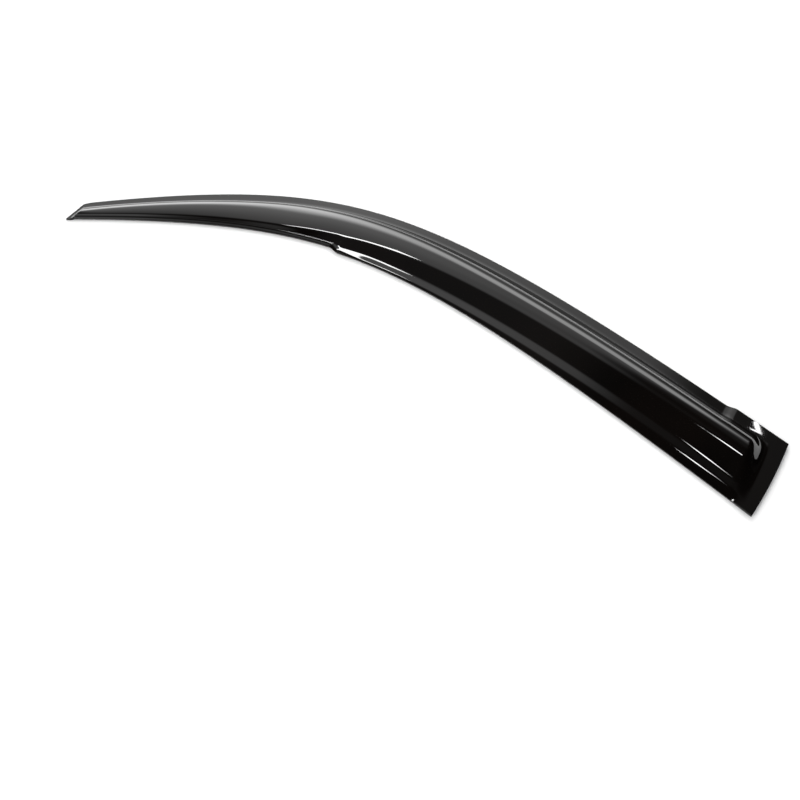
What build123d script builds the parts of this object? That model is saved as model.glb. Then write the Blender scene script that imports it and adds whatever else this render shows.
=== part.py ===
"""Smoked acrylic rain deflector for a left front car window, one moulded shell.

It lies with its outer side up. X runs along the chord from the windscreen pillar tip to the
rear end, Y points from the free edge to the bonding flange and Z points up.
"""

import os
from math import radians, sqrt, tan

from build123d import *

# Overall size, in millimetres and degrees
length = 950.0
wall = 2.5

# Plan line of the flange's outer edge: it climbs along the pillar and falls along the roof
flange_tip_y = 34.5
flange_climb = 46.7
flange_fall = 19.8
flange_bend_x = 258.0
flange_softness = 280.0

# Plan line of the free edge, of the same kind
free_tip_y = -3.5
free_climb = 35.4
free_fall = 20.3
free_bend_x = 306.0
free_softness = 270.0

# Bonding flange and the rise from it to the crest
tip_flange_width = 9.0
flange_width = 14.0
flange_grow_x = 220.0
tip_rise_run = 9.0
rise_run = 27.5
rise_grow_x = 650.0
tip_crest_height = 5.5
rear_crest_height = 17.5
crest_fullness = 1.2

# Outer face, and the steep wall that starts at the rim and deepens towards the rear
bend_drop = 2.0
tip_steep_width = 6.5
pillar_steep_width = 9.0
steep_width = 42.0
steep_begin_x = 285.0
steep_softness = 20.0
steep_run = 585.0

# Free edge: a turned-down rim all along, with a flare above it behind the kink
rim_width = 5.0
tip_rim_drop = 1.8
rim_drop = 2.6
tip_edge_height = 0.3
edge_height = 0.6
rim_grow_x = 220.0
kink_x = 338.0
kink_run = 16.0
kink_step = 6.0
flare_run = 310.0
flare_width = 18.0
flare_drop = 2.4
seam_width = 1.0
seam_drop = 0.2

# Slopes in front of and behind each crease of the section
root_slopes = (0.0, 8.0)
crest_slopes = (12.0, 2.0)
bend_slopes = (-9.0, -18.0)
flare_slopes = (-14.0, -4.0)
ridge_slopes = (-10.0, -30.0)
edge_slope = -45.0

# Closed ends: flat lands and the walls that come down to them
tip_land = 6.0
tip_wall_run = 14.0
tip_corner_depth = 2.5
tip_corner_run = 9.0
rear_land = 10.0
rear_wall_run = 22.0
end_lean = 6.0
end_bow = 2.0
end_spill = 15.0
end_margin = 3.0
least_share = 0.002

# Raised pad of the flange at the rear end
pad_length = 72.0
pad_ramp = 14.0
pad_height = 2.0
pad_overhang = 2.5

# Flat lands for the bonding tape under the flange and under the pad
land_height = 0.4
land_margin = 1.5
land_inset = 12.0

# Spacing of the sections along the shell, and the fullness of the curves between their knots
body_pitch = 60.0
detail_pitch = 4.0
pitch_growth = 0.4
handle_share = 0.4


def mix(first, last, share):
    """Value between two values."""
    return first + (last - first) * share


def ease(x, begin, run):
    """Smooth step from 0 to 1 over a run."""
    share = min(max((x - begin) / run, 0.0), 1.0)
    return share * share * (3.0 - 2.0 * share)


def slope_of(angle):
    """Rise over run of an angle in degrees."""
    return tan(radians(angle))


def past(x, begin, softness):
    """Distance past a place, with a soft start."""
    return (x - begin + sqrt((x - begin) ** 2 + softness**2)) / 2


def plan_line(x, start, climb, fall, bend_x, softness):
    """Plan line with two straight runs that blend into each other round a soft bend."""
    turned = past(x, bend_x, softness) - past(0.0, bend_x, softness)
    return start + slope_of(climb) * x - (slope_of(climb) + slope_of(fall)) * turned


def pad_share(x):
    """How far the flange has climbed to the rear pad."""
    return ease(x, length - pad_length, pad_ramp)


def flange_y(x):
    """Plan line of the flange's outer edge, without the pad's overhang."""
    return plan_line(x, flange_tip_y, flange_climb, flange_fall, flange_bend_x, flange_softness)


def free_y(x):
    """Plan line of the free edge, without the step at the kink."""
    return plan_line(x, free_tip_y, free_climb, free_fall, free_bend_x, free_softness)


def overhang(x):
    """How far the flange stands out past its plan line at the pad, or back at the soft tip corner."""
    corner = max(1.0 - x / tip_corner_run, 0.0)
    return pad_overhang * pad_share(x) - tip_corner_depth * corner * corner


def step_out(x):
    """How far the free edge has stepped out past its plan line behind the kink."""
    return kink_step * ease(x, kink_x, kink_run)


def skew(x):
    """Length along a section for each millimetre square across the flange."""
    slope = flange_y(x + 0.5) - flange_y(x - 0.5)
    return sqrt(1.0 + slope * slope)


def body_share(x):
    """How far the body stands up between the two closed ends, where a trace of it stays."""
    share = ease(x, tip_land, tip_wall_run) * ease(length - x, rear_land, rear_wall_run)
    return max(share, least_share)


def section_knots(x):
    """Corners of a section from the flange to the free edge, as (across, height, slopes)."""
    across = skew(x)
    width = flange_y(x) - free_y(x)
    grown = ease(x, 0.0, rim_grow_x)
    flared = ease(x, kink_x, flare_run)
    behind = min(past(x, steep_begin_x, steep_softness) / steep_run, 1.0)
    pillar_steep = mix(tip_steep_width, pillar_steep_width, grown)

    root_at = mix(tip_flange_width, flange_width, ease(x, 0.0, flange_grow_x)) * across
    crest_at = root_at + mix(tip_rise_run, rise_run, ease(x, 0.0, rise_grow_x)) * across
    bend_at = width - mix(pillar_steep, steep_width, sqrt(behind)) * across
    edge_at = width + step_out(x)
    ridge_at = edge_at - rim_width * across
    flare_at = ridge_at - mix(seam_width, flare_width, flared) * across

    full = 1.0 - max(1.0 - x / length, 0.0) ** crest_fullness
    crest = mix(tip_crest_height, rear_crest_height, full)
    edge = mix(tip_edge_height, edge_height, grown)
    ridge = edge + mix(tip_rim_drop, rim_drop, grown)
    dip = ridge + mix(seam_drop, flare_drop, flared)

    base = pad_height * pad_share(x)
    share = body_share(x)
    knots = [(-overhang(x), base, (0.0, 0.0))]
    for at, height, angles in [
        (root_at, base, root_slopes),
        (crest_at, crest, crest_slopes),
        (bend_at, crest - bend_drop, bend_slopes),
        (flare_at, dip, flare_slopes),
        (ridge_at, ridge, ridge_slopes),
        (edge_at, edge, (edge_slope, edge_slope)),
    ]:
        slopes = [slope_of(angle) * share for angle in angles]
        knots.append((at, mix(base, height, share), slopes))
    return knots


def outer_side(knot):
    """Corner on the outer side of the wall."""
    across, height, slopes = knot
    return (across, height + wall, slopes)


def inner_side(knot):
    """Corner on the inner side, one wall below the outer side and square to it."""
    across, height, slopes = knot
    slope = sum(slopes) / 2
    reach = wall / sqrt(1.0 + slope * slope)
    return (across + slope * reach, height + wall - reach, slopes)


def draw_strip(first, last):
    """Curve that leaves one corner and meets the next at their slopes."""
    handle = (last[0] - first[0]) * handle_share
    leave = (first[0] + handle, first[1] + first[2][1] * handle)
    meet = (last[0] - handle, last[1] - last[2][0] * handle)
    Bezier(first[:2], leave, meet, last[:2])


def pitch(x):
    """Spacing of the sections at a place: close where the form changes fast."""
    changes = [
        (0.0, tip_land + tip_wall_run),
        (steep_begin_x, steep_begin_x + steep_softness),
        (kink_x, kink_x + kink_run),
        (length - pad_length, length - pad_length + pad_ramp),
        (length - rear_land - rear_wall_run, length + end_spill),
    ]
    gap = min(max(begin - x, x - end, 0.0) for begin, end in changes)
    return min(detail_pitch + pitch_growth * gap, body_pitch)


def stations():
    """Places of the sections from the tip to a little past the rear end."""
    places = [0.0]
    while places[-1] < length + end_spill:
        places.append(places[-1] + pitch(places[-1]))
    stretch = (length + end_spill) / places[-1]
    return [place * stretch for place in places]


with BuildPart() as deflector_shell:
    # Formed sheet: one section for each station, drawn from the flange to the free edge
    for x in stations():
        knots = section_knots(x)
        outer = [outer_side(knot) for knot in knots]
        inner = [inner_side(knot) for knot in knots]
        with BuildSketch(Plane(origin=(x, flange_y(x), 0), x_dir=(0, -1, 0), z_dir=(-1, 0, 0))):
            with BuildLine():
                for first, last in zip(outer, outer[1:]):
                    draw_strip(first, last)
                Line(outer[-1][:2], inner[-1][:2])
                for first, last in zip(inner, inner[1:]):
                    draw_strip(first, last)
                Line(inner[0][:2], outer[0][:2])
            make_face()
    loft()

    # Rear end, trimmed to a line that leans and bows outwards
    free_end = Vector(length, free_y(length) - step_out(length) - end_margin)
    flange_end = Vector(length + end_lean, flange_y(length) + overhang(length) + end_margin)
    bow_at = (free_end + flange_end) / 2 + Vector(end_bow, 0)
    outer_x = length + 2 * end_spill
    outer_y = free_end.Y - end_spill
    with BuildSketch():
        with BuildLine():
            ThreePointArc(free_end, bow_at, flange_end)
            Polyline(flange_end, (outer_x, flange_end.Y), (outer_x, outer_y), (length, outer_y), free_end)
        make_face()
    extrude(amount=2 * rear_crest_height, both=True, mode=Mode.SUBTRACT)

    # Flat lands for the bonding tape, sunk half a wall into the flange and the pad
    flange_run = (land_inset, length - pad_length - land_margin, 0.0)
    pad_run = (length - pad_length + pad_ramp + land_margin, length - land_inset, pad_height)
    for begin, end, level in [flange_run, pad_run]:
        count = round((end - begin) / body_pitch) + 2
        places = [mix(begin, end, step / count) for step in range(count + 1)]
        near = [(x, flange_y(x) - land_margin) for x in places]
        far = [(x, flange_y(x) - section_knots(x)[1][0] + land_margin) for x in places]
        with BuildSketch(Plane.XY.offset(level - land_height)):
            with BuildLine():
                Spline(*near)
                Line(near[-1], far[-1])
                Spline(*far)
                Line(far[0], near[0])
            make_face()
        extrude(amount=land_height + wall / 2)

# The origin is the middle of the surface that the shell lies on
box = deflector_shell.part.bounding_box()
deflector_shell.part.location = Location((-box.center().X, -box.center().Y, -box.min.Z))

os.makedirs("parts", exist_ok=True)
deflector_shell.part.label = "deflector_shell"
export_step(deflector_shell.part, "parts/deflector_shell.step")
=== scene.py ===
import math

import bpy
from mathutils import Matrix, Vector
from mathutils.bvhtree import BVHTree


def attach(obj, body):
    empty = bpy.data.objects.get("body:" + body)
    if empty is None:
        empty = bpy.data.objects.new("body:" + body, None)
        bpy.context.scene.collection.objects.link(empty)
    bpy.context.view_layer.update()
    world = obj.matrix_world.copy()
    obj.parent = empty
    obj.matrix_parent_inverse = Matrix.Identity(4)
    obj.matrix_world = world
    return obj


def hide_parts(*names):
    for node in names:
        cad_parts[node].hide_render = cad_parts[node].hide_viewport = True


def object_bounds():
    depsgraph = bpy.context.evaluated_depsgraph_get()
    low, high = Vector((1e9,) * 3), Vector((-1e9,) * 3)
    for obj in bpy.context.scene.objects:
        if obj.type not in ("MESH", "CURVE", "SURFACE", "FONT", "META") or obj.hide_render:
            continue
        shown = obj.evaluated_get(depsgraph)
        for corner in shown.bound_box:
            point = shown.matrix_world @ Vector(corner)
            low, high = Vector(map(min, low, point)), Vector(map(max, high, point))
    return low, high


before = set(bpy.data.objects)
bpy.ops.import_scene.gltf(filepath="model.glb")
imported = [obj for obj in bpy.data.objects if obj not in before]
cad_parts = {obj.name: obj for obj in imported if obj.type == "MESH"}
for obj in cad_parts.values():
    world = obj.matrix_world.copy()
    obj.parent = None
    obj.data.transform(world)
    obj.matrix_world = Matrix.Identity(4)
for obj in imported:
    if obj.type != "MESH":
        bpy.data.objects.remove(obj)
cad_low, cad_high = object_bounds()

# Deflector shell: one sheet of smoked acrylic, heated, drawn over a mould and trimmed. A flat
# flange is bonded to the door's window frame, and the sheet rises from it to a crest, bends
# down in a steep wall and ends in a flared lip with a turned-down rim. Both ends are closed.

# Smoked acrylic: near black, clear gloss, with the faint flow marks of a hot-formed sheet
acrylic = bpy.data.materials.new("smoked_acrylic")
acrylic.use_nodes = True
nodes, links = acrylic.node_tree.nodes, acrylic.node_tree.links
gloss = nodes["Principled BSDF"]
gloss.inputs["IOR"].default_value = 1.49
where = nodes.new("ShaderNodeTexCoord")
clouds = nodes.new("ShaderNodeTexNoise")
clouds.inputs["Scale"].default_value = 9.0
clouds.inputs["Detail"].default_value = 3.0
links.new(where.outputs["Object"], clouds.inputs["Vector"])
tint = nodes.new("ShaderNodeValToRGB")
tint.color_ramp.elements[0].position = 0.3
tint.color_ramp.elements[0].color = (0.0012, 0.001, 0.0009, 1.0)
tint.color_ramp.elements[1].position = 0.7
tint.color_ramp.elements[1].color = (0.0024, 0.0017, 0.0014, 1.0)
links.new(clouds.outputs["Fac"], tint.inputs["Fac"])
links.new(tint.outputs["Color"], gloss.inputs["Base Color"])
haze = nodes.new("ShaderNodeMapRange")
haze.inputs["To Min"].default_value = 0.02
haze.inputs["To Max"].default_value = 0.045
links.new(clouds.outputs["Fac"], haze.inputs["Value"])
links.new(haze.outputs["Result"], gloss.inputs["Roughness"])

# Sizes of the sheet in millimetres and degrees, as inputs of the tree that forms it
sheet_sizes = {
    "length": 950.0,
    "wall": 2.5,
    # Plan line of the flange's outer edge: it climbs along the pillar and falls along the roof
    "flange_tip_y": 34.5,
    "flange_climb": 46.7,
    "flange_fall": 19.8,
    "flange_bend_x": 258.0,
    "flange_softness": 280.0,
    # Plan line of the free edge, of the same kind, with a step out at the kink
    "free_tip_y": -3.5,
    "free_climb": 35.4,
    "free_fall": 20.3,
    "free_bend_x": 306.0,
    "free_softness": 270.0,
    "kink_x": 338.0,
    "kink_run": 16.0,
    "kink_step": 6.0,
    # Bonding flange, and the rise from its root to the crest
    "tip_flange_width": 9.0,
    "flange_width": 14.0,
    "flange_grow_x": 220.0,
    "root_slope": 26.0,
    "tip_rise_run": 10.5,
    "rise_run": 27.5,
    "rise_grow_x": 650.0,
    "tip_crest_height": 4.3,
    "rear_crest_height": 17.5,
    "crest_fullness": 1.2,
    "crest_front_slope": 12.0,
    "crest_back_slope": 2.0,
    # Outer face down to the bend, and the steep wall that deepens towards the rear
    "tip_bend_drop": 0.6,
    "bend_drop": 2.0,
    "bend_slope": -9.0,
    "tip_steep_width": 4.0,
    "pillar_steep_width": 9.0,
    "rear_steep_width": 42.0,
    "steep_begin_x": 285.0,
    "steep_softness": 20.0,
    "steep_run": 585.0,
    # Lip: a seam along the pillar, which opens at the kink and levels out behind it
    "seam_width": 1.0,
    "kink_lip_width": 9.3,
    "rear_lip_width": 11.5,
    "lip_open_run": 60.0,
    "lip_grow_run": 360.0,
    "kink_lip_slope": -9.4,
    "rear_lip_slope": -7.2,
    "lip_level_x": 358.0,
    "lip_level_run": 60.0,
    # Turned-down rim between the lip's ridge and the free edge
    "tip_rim_width": 2.4,
    "pillar_rim_width": 5.0,
    "kink_rim_width": 2.5,
    "rear_rim_width": 11.0,
    "tip_rim_drop": 1.8,
    "pillar_rim_drop": 2.6,
    "kink_rim_drop": 0.85,
    "rear_rim_drop": 3.8,
    "rim_grow_x": 220.0,
    "rear_rim_x": 400.0,
    "rear_rim_run": 500.0,
    "ridge_slope": -17.0,
    "edge_slope": -19.0,
    "tip_edge_height": 0.3,
    "edge_height": 0.6,
    # Rounding on each side of the section's corners
    "root_round": 0.15,
    "crest_round": 3.5,
    "bend_round": 2.8,
    "flare_round": 3.0,
    "ridge_round": 2.2,
    # Closed ends: flat lands and the walls that come down to them
    "tip_land": 4.0,
    "tip_wall_run": 6.0,
    "tip_corner_depth": 2.5,
    "tip_corner_run": 9.0,
    "rear_land": 10.0,
    "rear_wall_run": 22.0,
    "end_lean": 6.0,
    "end_bow": 2.0,
    # Raised pad of the flange at the rear end
    "pad_length": 72.0,
    "pad_ramp": 14.0,
    "pad_height": 2.0,
    "pad_overhang": 2.5,
}

forming = bpy.data.node_groups.new("forming_of_the_sheet", "GeometryNodeTree")
for name, value in sheet_sizes.items():
    socket = forming.interface.new_socket(name, in_out="INPUT", socket_type="NodeSocketFloat")
    socket.default_value = value
forming.interface.new_socket("sheet", in_out="OUTPUT", socket_type="NodeSocketGeometry")


class Field:
    """A number that varies over the sheet, kept as the output of a node."""

    def __init__(self, socket):
        self.socket = socket

    def math(self, operation, *others):
        """Number made from this one and others by a Math node."""
        node = forming.nodes.new("ShaderNodeMath")
        node.operation = operation
        for slot, term in zip(node.inputs, (self, *others)):
            if isinstance(term, Field):
                forming.links.new(term.socket, slot)
            else:
                slot.default_value = term
        return Field(node.outputs[0])

    def __add__(self, other):
        return self.math("ADD", other)

    def __sub__(self, other):
        return self.math("SUBTRACT", other)

    def __rsub__(self, other):
        return (self * -1.0) + other

    def __mul__(self, other):
        return self.math("MULTIPLY", other)

    __rmul__ = __mul__

    def __truediv__(self, other):
        return self.math("DIVIDE", other)


# Places on each strip's grid: along the sheet, closer at its ends, and across the strip
sizes_in = forming.nodes.new("NodeGroupInput")
size = {name: Field(sizes_in.outputs[name]) for name in sheet_sizes}
position = forming.nodes.new("GeometryNodeInputPosition")
place = forming.nodes.new("ShaderNodeSeparateXYZ")
forming.links.new(position.outputs[0], place.inputs[0])
along = Field(place.outputs["X"]) + 0.5
over = 0.5 - Field(place.outputs["Y"])


def mix(first, last, share):
    """Number between two numbers."""
    return first + (last - first) * share


def reached(x, begin, run):
    """Share of a run that a place has reached, from 0 to 1."""
    return ((x - begin) / run).math("MAXIMUM", 0.0).math("MINIMUM", 1.0)


def ease(x, begin, run):
    """Smooth step from 0 to 1 over a run."""
    share = reached(x, begin, run)
    return share * share * (3.0 - share * 2.0)


def slope_of(angle):
    """Rise over run of an angle in degrees."""
    return (angle * math.radians(1.0)).math("TANGENT")


def past(x, begin, softness):
    """Distance past a place, with a soft start."""
    ahead = x - begin
    return (ahead + (ahead * ahead + softness * softness).math("SQRT")) * 0.5


def plan_line(line):
    """Function for a plan line with two straight runs that blend round a soft bend."""
    bend_x, softness = size[line + "_bend_x"], size[line + "_softness"]
    climb = slope_of(size[line + "_climb"])
    turned = climb + slope_of(size[line + "_fall"])
    start = size[line + "_tip_y"] + turned * past(0.0, bend_x, softness)
    return lambda x: start + climb * x - turned * past(x, bend_x, softness)


# Plan: both edges, the skew of a section, and the flange's overhang at the pad and tip corner
end_closeness = 0.8
x = size["length"] * mix(along, ease(along, 0.0, 1.0), end_closeness)
flange_line = plan_line("flange")
free_line = plan_line("free")
width = flange_line(x) - free_line(x)
flange_slope = flange_line(x + 0.5) - flange_line(x - 0.5)
across = (flange_slope * flange_slope + 1.0).math("SQRT")
pad_share = ease(x, size["length"] - size["pad_length"], size["pad_ramp"])
tip_corner = 1.0 - reached(x, 0.0, size["tip_corner_run"])
overhang = size["pad_overhang"] * pad_share - size["tip_corner_depth"] * tip_corner * tip_corner

# Shares that the section's sizes change by along the sheet
grown = ease(x, 0.0, size["rim_grow_x"])
flange_grown = ease(x, 0.0, size["flange_grow_x"])
rise_grown = ease(x, 0.0, size["rise_grow_x"])
crest_ahead = 1.0 - reached(x, 0.0, size["length"])
crest_grown = 1.0 - crest_ahead.math("POWER", size["crest_fullness"])
steep_past = past(x, size["steep_begin_x"], size["steep_softness"])
deepened = (steep_past / size["steep_run"]).math("MINIMUM", 1.0).math("SQRT")
kinked = ease(x, size["kink_x"], size["kink_run"])
lip_ahead = 1.0 - reached(x, size["kink_x"], size["lip_open_run"])
opened = 1.0 - lip_ahead * lip_ahead
lip_grown = reached(x, size["kink_x"], size["lip_grow_run"])
levelled = ease(x, size["lip_level_x"], size["lip_level_run"])
rear_rim = ease(x, size["rear_rim_x"], size["rear_rim_run"])

# Corners of the section: how far each lies from the flange's plan line
flange_width = mix(size["tip_flange_width"], size["flange_width"], flange_grown)
rise_run = mix(size["tip_rise_run"], size["rise_run"], rise_grown)
pillar_steep = mix(size["tip_steep_width"], size["pillar_steep_width"], grown)
steep_width = mix(pillar_steep, size["rear_steep_width"], deepened)
pillar_rim = mix(size["tip_rim_width"], size["pillar_rim_width"], grown)
rim_width = mix(mix(pillar_rim, size["kink_rim_width"], opened), size["rear_rim_width"], rear_rim)
opened_lip = mix(size["seam_width"], size["kink_lip_width"], opened)
lip_reach = mix(opened_lip, size["rear_lip_width"], lip_grown) * across
root_at = flange_width * across
crest_at = root_at + rise_run * across
bend_at = width - steep_width * across
edge_at = width + size["kink_step"] * kinked
ridge_at = edge_at - rim_width * across
flare_at = ridge_at - lip_reach

# Heights of the corners, and the slopes of the straight wall and lip between them
pillar_drop = mix(size["tip_rim_drop"], size["pillar_rim_drop"], grown)
rim_drop = mix(mix(pillar_drop, size["kink_rim_drop"], opened), size["rear_rim_drop"], rear_rim)
lip_slope = slope_of(mix(size["kink_lip_slope"], size["rear_lip_slope"], levelled))
base = size["pad_height"] * pad_share
crest = mix(size["tip_crest_height"], size["rear_crest_height"], crest_grown)
bend = crest - mix(size["tip_bend_drop"], size["bend_drop"], grown)
edge = mix(size["tip_edge_height"], size["edge_height"], grown)
ridge = edge + rim_drop
flare = ridge - lip_reach * lip_slope
wall_slope = (bend - flare) / (bend_at - flare_at)
edge_slope = slope_of(size["edge_slope"])

# Knots: each corner's place, height and slopes in front and behind, flat where an end closes
tip_wall = ease(x, size["tip_land"], size["tip_wall_run"])
rear_wall = ease(size["length"] - x, size["rear_land"], size["rear_wall_run"])
standing = tip_wall * rear_wall
knots = [(overhang * -1.0, base, 0.0, 0.0)]
for at, height, front_slope, back_slope in [
    (root_at, base, 0.0, slope_of(size["root_slope"])),
    (crest_at, crest, slope_of(size["crest_front_slope"]), slope_of(size["crest_back_slope"])),
    (bend_at, bend, slope_of(size["bend_slope"]), wall_slope),
    (flare_at, flare, wall_slope, lip_slope),
    (ridge_at, ridge, lip_slope, slope_of(size["ridge_slope"])),
    (edge_at, edge, edge_slope, edge_slope),
]:
    stood = mix(base, height, standing)
    knots.append((at, stood, front_slope * standing, back_slope * standing))

# Shares of a strip's four curve points at a place across it
back = 1.0 - over
near_share = back * back * back
near_handle_share = back * back * over * 3.0
far_handle_share = back * over * over * 3.0
far_share = over * over * over

# Rear end line: how far a place has come over the last land, which leans and bows outwards
at_end = reached(x, size["length"] - size["rear_land"], size["rear_land"])


def followed(kind, source):
    """Node of a kind that takes its geometry from a socket."""
    node = forming.nodes.new(kind)
    forming.links.new(source, node.inputs["Geometry"])
    return node


def formed_strip(near, far, rows):
    """Strip of the sheet between two corners of the section, as a grid moved into place."""
    stations = 420
    handle_length = 0.4
    grid = forming.nodes.new("GeometryNodeMeshGrid")
    grid.inputs["Size X"].default_value = 1.0
    grid.inputs["Size Y"].default_value = 1.0
    grid.inputs["Vertices X"].default_value = stations
    grid.inputs["Vertices Y"].default_value = rows
    handle = (far[0] - near[0]) * handle_length
    reach = (
        near[0] * near_share
        + (near[0] + handle) * near_handle_share
        + (far[0] - handle) * far_handle_share
        + far[0] * far_share
    )
    height = (
        near[1] * near_share
        + (near[1] + near[3] * handle) * near_handle_share
        + (far[1] - far[2] * handle) * far_handle_share
        + far[1] * far_share
    )
    side = 1.0 - (reach + overhang) / (edge_at + overhang)
    end_line = size["end_lean"] * side + size["end_bow"] * side * (1.0 - side) * 4.0
    formed_x = x + end_line * at_end
    spot = forming.nodes.new("ShaderNodeCombineXYZ")
    forming.links.new(formed_x.socket, spot.inputs["X"])
    forming.links.new((flange_line(formed_x) - reach).socket, spot.inputs["Y"])
    forming.links.new((height + size["wall"]).socket, spot.inputs["Z"])
    moved = followed("GeometryNodeSetPosition", grid.outputs["Mesh"])
    forming.links.new(spot.outputs[0], moved.inputs["Position"])
    return moved.outputs[0]


# Each corner of the section is rounded: the strips stop short of it and a narrow one joins them
strips = forming.nodes.new("GeometryNodeJoinGeometry")
room_share = 0.35
corner_rows = 5
strip_rows = [4, 20, 14, 11, 8, 6]
corners = ["root", "crest", "bend", "flare", "ridge"]
begin = knots[0]
for before, knot, after, corner, rows in zip(knots, knots[1:], knots[2:], corners, strip_rows):
    room = (knot[0] - before[0]).math("MINIMUM", after[0] - knot[0]) * room_share
    short = size[corner + "_round"].math("MINIMUM", room)
    end = (knot[0] - short, knot[1] - knot[2] * short, knot[2], knot[2])
    next_begin = (knot[0] + short, knot[1] + knot[3] * short, knot[3], knot[3])
    forming.links.new(formed_strip(begin, end, rows), strips.inputs[0])
    forming.links.new(formed_strip(end, next_begin, corner_rows), strips.inputs[0])
    begin = next_begin
forming.links.new(formed_strip(begin, knots[-1], strip_rows[-1]), strips.inputs[0])

# The strips are welded into one sheet in millimetres, which is scaled to metres and coated
millimetre = 0.001
weld_gap = 0.002
welded = followed("GeometryNodeMergeByDistance", strips.outputs[0])
welded.inputs["Distance"].default_value = weld_gap
scaled = followed("GeometryNodeTransform", welded.outputs[0])
scaled.inputs["Scale"].default_value = (millimetre,) * 3
smooth = followed("GeometryNodeSetShadeSmooth", scaled.outputs[0])
realized = followed("GeometryNodeRealizeInstances", smooth.outputs[0])
coated = followed("GeometryNodeSetMaterial", realized.outputs[0])
coated.inputs["Material"].default_value = acrylic
sheet_out = forming.nodes.new("NodeGroupOutput")
forming.links.new(coated.outputs[0], sheet_out.inputs[0])

# The formed sheet gets its wall and broken edges, and is set in the frame as a plain mesh
edge_break = 0.25
edge_angle = 60.0
crease_angle = 38.0
form = bpy.data.objects.new("formed_sheet", bpy.data.meshes.new("formed_sheet"))
bpy.context.scene.collection.objects.link(form)
form.modifiers.new("forming", "NODES").node_group = forming
wall = form.modifiers.new("wall", "SOLIDIFY")
wall.thickness = sheet_sizes["wall"] * millimetre
wall.offset = -1.0
wall.use_even_offset = True
broken_edge = form.modifiers.new("broken_edge", "BEVEL")
broken_edge.limit_method = "ANGLE"
broken_edge.angle_limit = math.radians(edge_angle)
broken_edge.width = edge_break * millimetre
broken_edge.segments = 1
bpy.context.view_layer.update()
formed = form.evaluated_get(bpy.context.evaluated_depsgraph_get())
shell_mesh = bpy.data.meshes.new_from_object(formed)
bpy.data.objects.remove(form)
shell_mesh.name = "rain_deflector"
shell = bpy.data.objects.new("rain_deflector", shell_mesh)
bpy.context.scene.collection.objects.link(shell)
low_x = min(vertex.co.x for vertex in shell_mesh.vertices)
high_y = max(vertex.co.y for vertex in shell_mesh.vertices)
high_z = max(vertex.co.z for vertex in shell_mesh.vertices)
to_frame = Vector((cad_low.x - low_x, cad_high.y - high_y, cad_high.z - high_z))
shell_mesh.transform(Matrix.Translation(to_frame))
shell_mesh.set_sharp_from_angle(angle=math.radians(crease_angle))
shell_mesh.materials.clear()
shell_mesh.materials.append(acrylic)
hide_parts("deflector_shell")
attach(shell, "root")

# Floor: a plain white sheet that the deflector lies on, matt so that it mirrors nothing. It
# reaches far past the view on every side.
floor_mesh = bpy.data.meshes.new("floor")
reach = 6.0
floor_mesh.from_pydata(
    [(-reach, -reach, 0.0), (reach, -reach, 0.0), (reach, reach, 0.0), (-reach, reach, 0.0)],
    [],
    [(0, 1, 2, 3)],
)
floor = bpy.data.objects.new("floor", floor_mesh)
bpy.context.scene.collection.objects.link(floor)
paper = bpy.data.materials.new("floor_white")
paper.use_nodes = True
matt = paper.node_tree.nodes["Principled BSDF"]
matt.inputs["Base Color"].default_value = (0.92, 0.92, 0.92, 1.0)
matt.inputs["Roughness"].default_value = 0.7
matt.inputs["Specular IOR Level"].default_value = 0.0
floor_mesh.materials.append(paper)

# Camera: above the free edge, turned towards the pillar tip, with a normal lens. The tip lies
# at the left of the picture and the rear end at its right.
camera = bpy.data.objects.new("camera", bpy.data.cameras.new("camera"))
bpy.context.scene.collection.objects.link(camera)
camera.data.lens = 45.0
camera.data.sensor_width = 36.0
view_azimuth, view_elevation = math.radians(30.288), math.radians(50.0)
view_distance = 1.1514
aim = Vector((0.0732, -0.1593, 0.0004))
up_axis = Vector((0.0, 0.0, 1.0))
right_axis = Vector((math.cos(view_azimuth), math.sin(view_azimuth), 0.0))
far_axis = Vector((-math.sin(view_azimuth), math.cos(view_azimuth), 0.0))
towards_camera = up_axis * math.sin(view_elevation) - far_axis * math.cos(view_elevation)
camera.location = aim + towards_camera * view_distance
camera.rotation_euler = (math.pi / 2 - view_elevation, 0.0, view_azimuth)
bpy.context.scene.camera = camera

# Studio: a white wall behind the deflector, brightest low down and to the left, a dark ceiling
# and a white screen at the camera's left hand. The gloss shows little else than these.
bpy.context.scene.view_settings.view_transform = "Standard"
world = bpy.data.worlds.new("studio")
bpy.context.scene.world = world
world.use_nodes = True
studio_nodes, studio_links = world.node_tree.nodes, world.node_tree.links
direction = studio_nodes.new("ShaderNodeTexCoord").outputs["Generated"]


def part_along(axis):
    """How far a direction of the studio points along an axis."""
    node = studio_nodes.new("ShaderNodeVectorMath")
    node.operation = "DOT_PRODUCT"
    node.inputs[1].default_value = axis
    studio_links.new(direction, node.inputs[0])
    return node.outputs["Value"]


def merged(operation, *terms):
    """Socket with sockets and numbers merged by a Math node."""
    node = studio_nodes.new("ShaderNodeMath")
    node.operation = operation
    for slot, term in zip(node.inputs, terms):
        if isinstance(term, float):
            slot.default_value = term
        else:
            studio_links.new(term, slot)
    return node.outputs[0]


def bands(angle, stops):
    """Brightness that changes with an angle, from stops of (degrees from -180 to 180, white)."""
    node = studio_nodes.new("ShaderNodeValToRGB")
    while len(node.color_ramp.elements) < len(stops):
        node.color_ramp.elements.new(0.5)
    for element, (degrees, white) in zip(node.color_ramp.elements, stops):
        element.position = degrees / 360.0 + 0.5
        element.color = (white, white, white, 1.0)
    turns = merged("ADD", merged("DIVIDE", angle, 2.0 * math.pi), 0.5)
    studio_links.new(turns, node.inputs["Fac"])
    return node.outputs["Color"]


# Rise runs from the far horizon over the ceiling to the camera's side, and aside to the right
rise = merged("ARCTAN2", part_along(up_axis), part_along(far_axis))
aside = merged("ARCSINE", part_along(right_axis))

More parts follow.
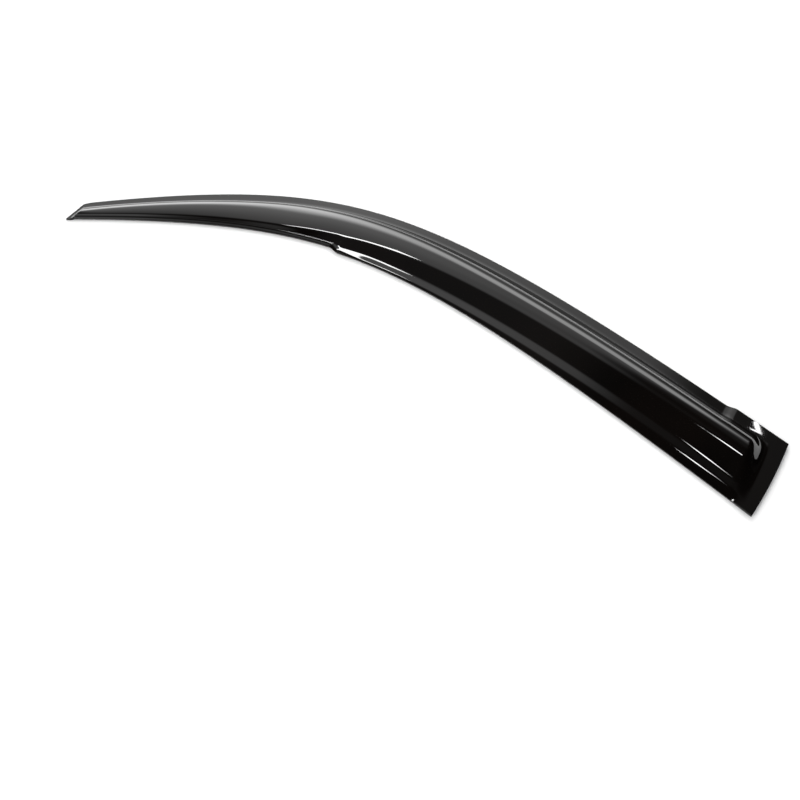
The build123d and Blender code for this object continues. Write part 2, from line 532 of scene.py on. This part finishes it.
# The wall's bands lean with the distance aside, and so does its right edge with the rise
band_lean = 0.42
edge_lean = 1.1
wall_bands = bands(
    merged("SUBTRACT", rise, merged("MULTIPLY", aside, band_lean)),
    [
        (0, 0.08),
        (14, 0.1),
        (20, 0.5),
        (25, 0.8),
        (36, 0.8),
        (39, 0.28),
        (41, 0.18),
        (48, 0.16),
        (56, 0.135),
        (63, 0.095),
        (68, 0.035),
        (72, 0.012),
        (180, 0.006),
    ],
)
wall_sides = bands(
    aside,
    [
        (-60, 0.05),
        (-38, 0.3),
        (-27, 0.9),
        (-12, 1.0),
        (-4, 1.0),
        (3, 0.68),
        (24, 0.55),
        (29, 0.25),
        (34, 0.03),
    ],
)
wall_edge = bands(
    merged("ADD", aside, merged("MULTIPLY", rise, edge_lean)),
    [(60, 1.0), (66, 1.0), (71, 0.16), (90, 0.1)],
)
wall_glow = merged("MULTIPLY", merged("MULTIPLY", wall_bands, wall_sides), wall_edge)
screen_bands = bands(rise, [(86, 0.0), (98, 0.2), (112, 0.5), (180, 0.5)])
screen_sides = bands(aside, [(-50, 1.0), (-32, 0.45), (-22, 0.35), (-12, 0.2), (-5, 0.0)])
studio_glow = merged("ADD", wall_glow, merged("MULTIPLY", screen_bands, screen_sides))

# Past the floor's edge there is a plain white backdrop, which the gloss doesn't mirror
backdrop_white = 0.12
looked_at = studio_nodes.new("ShaderNodeLightPath").outputs["Is Camera Ray"]
backdrop = merged("MULTIPLY", looked_at, backdrop_white)
sky = studio_nodes["Background"]
sky.inputs["Strength"].default_value = 9.0
studio_links.new(merged("MAXIMUM", studio_glow, backdrop), sky.inputs["Color"])

# Small softboxes, each hung where the gloss mirrors it to the camera as a glint on a crease
shell_tree = BVHTree.FromPolygons(
    [vertex.co for vertex in shell_mesh.vertices],
    [polygon.vertices for polygon in shell_mesh.polygons],
)


def glint(name, seen_at, hung_at, box, roll, grid, white):
    """Softbox with a grid, a metre from the place seen at a point of the picture (0 to 1).

    It hangs at a rise and a turn aside from there. These, its roll and its grid are degrees.
    """
    view = camera.data.sensor_width / camera.data.lens
    ray = Vector(((seen_at[0] - 0.5) * view, (0.5 - seen_at[1]) * view, -1.0))
    ray.rotate(camera.rotation_euler)
    spot = shell_tree.ray_cast(camera.location, ray.normalized())[0]
    hung_rise, hung_turn = (math.radians(angle) for angle in hung_at)
    out = far_axis * math.cos(hung_rise) + up_axis * math.sin(hung_rise)
    out = out * math.cos(hung_turn) + right_axis * math.sin(hung_turn)
    softbox = bpy.data.objects.new(name, bpy.data.lights.new(name, "AREA"))
    bpy.context.scene.collection.objects.link(softbox)
    softbox.data.shape = "RECTANGLE"
    softbox.data.size, softbox.data.size_y = box
    half_spread = math.radians(grid)
    softbox.data.spread = 2.0 * half_spread
    gathered = 1.0 - half_spread / math.tan(half_spread)
    softbox.data.energy = white * math.pi * box[0] * box[1] * gathered
    softbox.location = spot + out
    facing = (-out).to_track_quat("-Z", "Y").to_matrix()
    softbox.rotation_euler = (facing @ Matrix.Rotation(math.radians(roll), 3, "Z")).to_euler()
    softbox.visible_diffuse = False


glint(
    "front_glint",
    seen_at=(0.445, 0.314),
    hung_at=(60.5, -11.0),
    box=(0.24, 0.06),
    roll=0.0,
    grid=20.0,
    white=30.0,
)
glint(
    "rear_glint",
    seen_at=(0.893, 0.58),
    hung_at=(74.5, -3.4),
    box=(0.14, 0.06),
    roll=0.0,
    grid=4.0,
    white=45.0,
)
glint(
    "pad_glint",
    seen_at=(0.949, 0.54),
    hung_at=(51.4, 19.6),
    box=(0.03, 0.008),
    roll=-50.0,
    grid=1.3,
    white=40.0,
)

# Overhead fill: a wide soft light for the floor, which the gloss doesn't mirror
fill = bpy.data.objects.new("fill", bpy.data.lights.new("fill", "SUN"))
bpy.context.scene.collection.objects.link(fill)
fill.data.energy = 1.6
fill.data.angle = math.radians(120.0)
fill.visible_glossy = False
